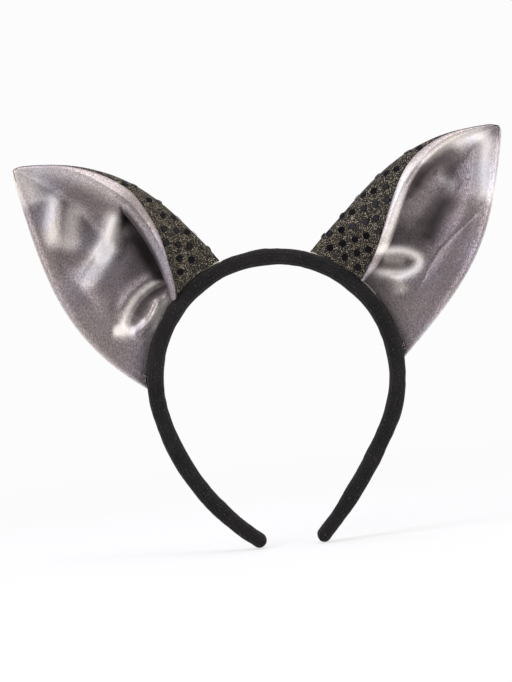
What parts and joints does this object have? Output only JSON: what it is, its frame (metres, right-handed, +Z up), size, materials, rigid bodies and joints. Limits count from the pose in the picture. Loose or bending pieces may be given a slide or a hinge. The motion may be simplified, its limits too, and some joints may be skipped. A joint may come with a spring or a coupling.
{
  "type": "animal ears headband",
  "caption": "Padded spring headband with two cupped fabric ears, satin in front and sequinned knit behind, worn over the head as costume wear.",
  "frame": {"origin": "centre of the arch that grips the head, midway between front and back of the band", "axes": "+X to the right as seen from the front, +Y to the back, +Z up through the middle of the crown"},
  "size_m": [0.2638, 0.0273, 0.2184],
  "materials": {
    "band_core": "moulded spring plastic",
    "padding": "thin foam wadding",
    "sleeve": "matt ribbed knit",
    "satin": "silver satin with a soft sheen",
    "foam": "sheet foam",
    "glitter_knit": "black knit with gold lurex speckle",
    "sequin": "gloss black with a pearly glint",
    "wire": "bright drawn wire",
    "thread": "black sewing thread",
    "glue": "set hot-melt glue"
  },
  "bodies": {
    "crown": {"crown_core": "band_core", "crown_padding": "padding", "crown_sleeve": "sleeve"},
    "left_leg": {"left_leg_core": "band_core", "left_leg_padding": "padding", "left_leg_sleeve": "sleeve", "left_ear_glue_line": "glue", "left_ear_tack_stitches": "thread"},
    "left_ear": {"left_ear_satin_panel": "satin", "left_ear_foam_insert": "foam", "left_ear_knit_panel": "glitter_knit", "left_ear_sequins": "sequin", "left_ear_edge_wire": "wire", "left_ear_seam_thread": "thread"},
    "right_leg": {"right_leg_core": "band_core", "right_leg_padding": "padding", "right_leg_sleeve": "sleeve", "right_ear_glue_line": "glue", "right_ear_tack_stitches": "thread"},
    "right_ear": {"right_ear_satin_panel": "satin", "right_ear_foam_insert": "foam", "right_ear_knit_panel": "glitter_knit", "right_ear_sequins": "sequin", "right_ear_edge_wire": "wire", "right_ear_seam_thread": "thread"}
  },
  "joints": [
    {"name": "left_leg_flex", "type": "hinge", "parent": "crown", "child": "left_leg", "pos_m": [-0.01326, 0, 0.06822], "axis": [0, 1, 0], "range_deg": [0, 15], "stiffness_Nm_per_rad": 0.7},
    {"name": "right_leg_flex", "type": "hinge", "parent": "crown", "child": "right_leg", "pos_m": [0.01326, 0, 0.06822], "axis": [0, -1, 0], "range_deg": [0, 15], "stiffness_Nm_per_rad": 0.7},
    {"name": "left_ear_bend", "type": "hinge", "parent": "left_leg", "child": "left_ear", "pos_m": [-0.05623, 0, 0.04085], "axis": [0.5878, 0, 0.809], "range_deg": [-20, 20], "stiffness_Nm_per_rad": 0.05},
    {"name": "right_ear_bend", "type": "hinge", "parent": "right_leg", "child": "right_ear", "pos_m": [0.05623, 0, 0.04085], "axis": [0.5878, 0, -0.809], "range_deg": [-20, 20], "stiffness_Nm_per_rad": 0.05}
  ]
}
